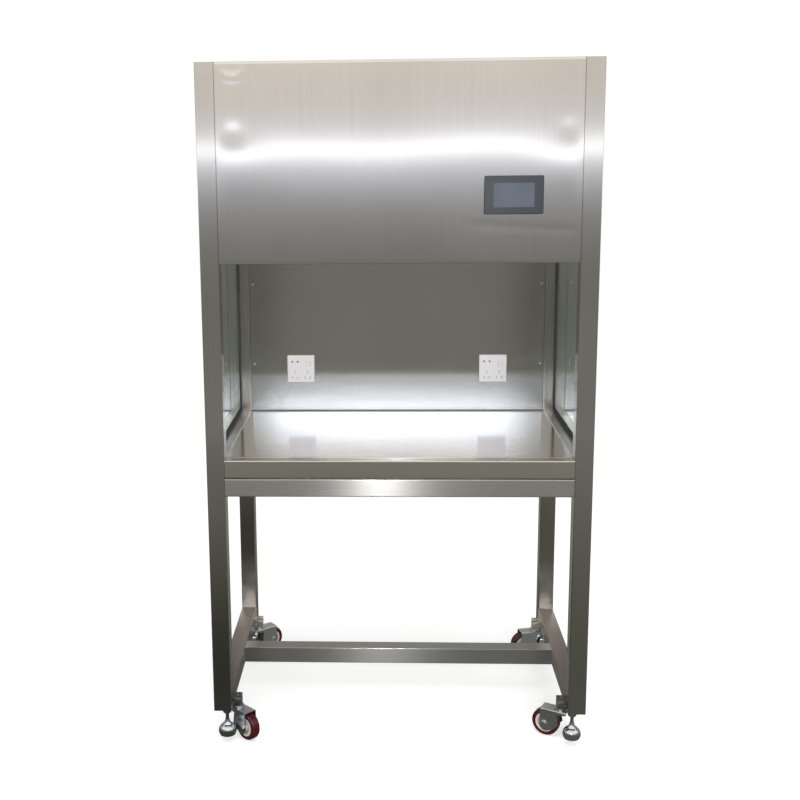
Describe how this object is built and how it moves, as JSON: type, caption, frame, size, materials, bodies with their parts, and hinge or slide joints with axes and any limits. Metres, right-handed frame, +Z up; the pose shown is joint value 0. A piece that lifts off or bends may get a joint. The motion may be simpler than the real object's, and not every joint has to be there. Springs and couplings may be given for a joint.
{
  "type": "laminar flow hood",
  "caption": "Stainless steel vertical laminar flow clean bench on a square-tube stand, with casters, levelling feet, glass side windows, a touchscreen and sockets.",
  "frame": {"origin": "on the floor under the middle of the object's bounding box", "axes": "+Z up; the open front and the touchscreen face -Y; +X to the right as seen from the front"},
  "size_m": [1.05, 0.738, 1.8922],
  "materials": {
    "stainless_tube": "brushed along the tube, dull",
    "stainless_panel": "fine vertical brushing, satin",
    "stainless_liner": "fine brushing, half mirror",
    "stainless_worktop": "polished, mirror-like",
    "window_glass": "clear tempered glass, slightly green",
    "black_seal": "matte extruded rubber",
    "zinc_fork": "bright zinc plate",
    "hub_nylon": "moulded nylon, cream grey",
    "red_tread": "moulded polyurethane, dark red",
    "foot_chrome": "polished chrome plate",
    "socket_white": "moulded, glossy white",
    "filter_aluminium": "extruded, natural",
    "filter_paper": "pleated glass-fibre paper",
    "white_diffuser": "white powder coat",
    "white_enamel": "white enamel",
    "lamp_tube": "opal tube",
    "galvanised": "zinc-coated sheet",
    "motor_paint": "black enamel",
    "prefilter_mat": "white polyester mat",
    "bezel_plastic": "moulded, slate grey",
    "screen_glass": "touch film over a dim display",
    "black_nylon": "moulded nylon",
    "screw_steel": "turned"
  },
  "bodies": {
    "cabinet": {"post_front_left": "stainless_tube", "post_front_right": "stainless_tube", "post_rear_left": "stainless_tube", "post_rear_right": "stainless_tube", "table_rail_front": "stainless_tube", "table_rail_rear": "stainless_tube", "table_rail_left": "stainless_tube", "table_rail_right": "stainless_tube", "under_rail_front": "stainless_tube", "base_cross_rail": "stainless_tube", "base_rail_left": "stainless_tube", "base_rail_right": "stainless_tube", "front_header_panel": "stainless_panel", "header_side_panel_left": "stainless_panel", "header_side_panel_right": "stainless_panel", "rear_panel": "stainless_panel", "top_panel": "stainless_panel", "back_wall": "stainless_liner", "worktop": "stainless_worktop", "window_left": "window_glass", "window_seal_left": "black_seal", "socket_plate_left": "socket_white", "window_right": "window_glass", "window_seal_right": "black_seal", "socket_plate_right": "socket_white", "filter_ledge": "stainless_panel", "filter_frame": "filter_aluminium", "filter_pack": "filter_paper", "diffuser": "white_diffuser", "lamp_batten": "white_enamel", "lamp_tube": "lamp_tube", "fan_deck": "galvanised", "fan_scroll": "galvanised", "fan_motor": "motor_paint", "prefilter": "prefilter_mat", "control_box": "galvanised", "screen_bezel": "bezel_plastic", "screen": "screen_glass", "power_gland": "black_nylon", "panel_screws": "screw_steel", "caster_stems": "zinc_fork"},
    "caster_fork_front_left": {"caster_fork_front_left": "zinc_fork"},
    "caster_wheel_front_left": {"caster_hub_front_left": "hub_nylon", "caster_tread_front_left": "red_tread"},
    "level_foot_front_left": {"level_foot_front_left": "foot_chrome"},
    "caster_fork_front_right": {"caster_fork_front_right": "zinc_fork"},
    "caster_wheel_front_right": {"caster_hub_front_right": "hub_nylon", "caster_tread_front_right": "red_tread"},
    "level_foot_front_right": {"level_foot_front_right": "foot_chrome"},
    "caster_fork_rear_left": {"caster_fork_rear_left": "zinc_fork"},
    "caster_wheel_rear_left": {"caster_hub_rear_left": "hub_nylon", "caster_tread_rear_left": "red_tread"},
    "level_foot_rear_left": {"level_foot_rear_left": "foot_chrome"},
    "caster_fork_rear_right": {"caster_fork_rear_right": "zinc_fork"},
    "caster_wheel_rear_right": {"caster_hub_rear_right": "hub_nylon", "caster_tread_rear_right": "red_tread"},
    "level_foot_rear_right": {"level_foot_rear_right": "foot_chrome"},
    "socket_rocker_left": {"socket_rocker_left": "socket_white"},
    "socket_rocker_right": {"socket_rocker_right": "socket_white"},
    "fan_wheel": {"fan_wheel": "galvanised"}
  },
  "joints": [
    {"name": "caster_swivel_front_left", "type": "hinge", "parent": "cabinet", "child": "caster_fork_front_left", "pos_m": [-0.464, -0.297, 0.086], "axis": [0, 0, 1], "range_deg": [-0.37, 201.63]},
    {"name": "caster_roll_front_left", "type": "hinge", "parent": "caster_fork_front_left", "child": "caster_wheel_front_left", "pos_m": [-0.43379, -0.32618, 0.04], "axis": [0.6947, 0.7193, 0], "continuous": true},
    {"name": "foot_screw_front_left", "type": "slide", "parent": "cabinet", "child": "level_foot_front_left", "axis": [0, 0, 1], "range_m": [-0.03, 0.005]},
    {"name": "caster_swivel_front_right", "type": "hinge", "parent": "cabinet", "child": "caster_fork_front_right", "pos_m": [0.464, -0.297, 0.086], "axis": [0, 0, 1], "range_deg": [-127.63, 74.37]},
    {"name": "caster_roll_front_right", "type": "hinge", "parent": "caster_fork_front_right", "child": "caster_wheel_front_right", "pos_m": [0.42763, -0.276, 0.04], "axis": [-0.5, -0.866, 0], "continuous": true},
    {"name": "foot_screw_front_right", "type": "slide", "parent": "cabinet", "child": "level_foot_front_right", "axis": [0, 0, 1], "range_m": [-0.03, 0.005]},
    {"name": "caster_swivel_rear_left", "type": "hinge", "parent": "cabinet", "child": "caster_fork_rear_left", "pos_m": [-0.464, 0.281, 0.086], "axis": [0, 0, 1], "range_deg": [-195.63, 6.37]},
    {"name": "caster_roll_rear_left", "type": "hinge", "parent": "caster_fork_rear_left", "child": "caster_wheel_rear_left", "pos_m": [-0.4309, 0.30686, 0.04], "axis": [-0.6157, 0.788, 0], "continuous": true},
    {"name": "foot_screw_rear_left", "type": "slide", "parent": "cabinet", "child": "level_foot_rear_left", "axis": [0, 0, 1], "range_m": [-0.03, 0.005]},
    {"name": "caster_swivel_rear_right", "type": "hinge", "parent": "cabinet", "child": "caster_fork_rear_right", "pos_m": [0.464, 0.281, 0.086], "axis": [0, 0, 1], "range_deg": [-58.37, 143.63]},
    {"name": "caster_roll_rear_right", "type": "hinge", "parent": "caster_fork_rear_right", "child": "caster_wheel_rear_right", "pos_m": [0.42325, 0.27084, 0.04], "axis": [0.2419, -0.9703, 0], "continuous": true},
    {"name": "foot_screw_rear_right", "type": "slide", "parent": "cabinet", "child": "level_foot_rear_right", "axis": [0, 0, 1], "range_m": [-0.03, 0.005]},
    {"name": "socket_switch_left", "type": "hinge", "parent": "cabinet", "child": "socket_rocker_left", "pos_m": [-0.28636, 0.2943, 0.9926], "axis": [1, 0, 0], "range_deg": [0, 8]},
    {"name": "socket_switch_right", "type": "hinge", "parent": "cabinet", "child": "socket_rocker_right", "pos_m": [0.33564, 0.2943, 0.9926], "axis": [1, 0, 0], "range_deg": [0, 8]},
    {"name": "fan_spin", "type": "hinge", "parent": "cabinet", "child": "fan_wheel", "pos_m": [0.04, -0.008, 1.72], "axis": [1, 0, 0], "continuous": true}
  ]
}
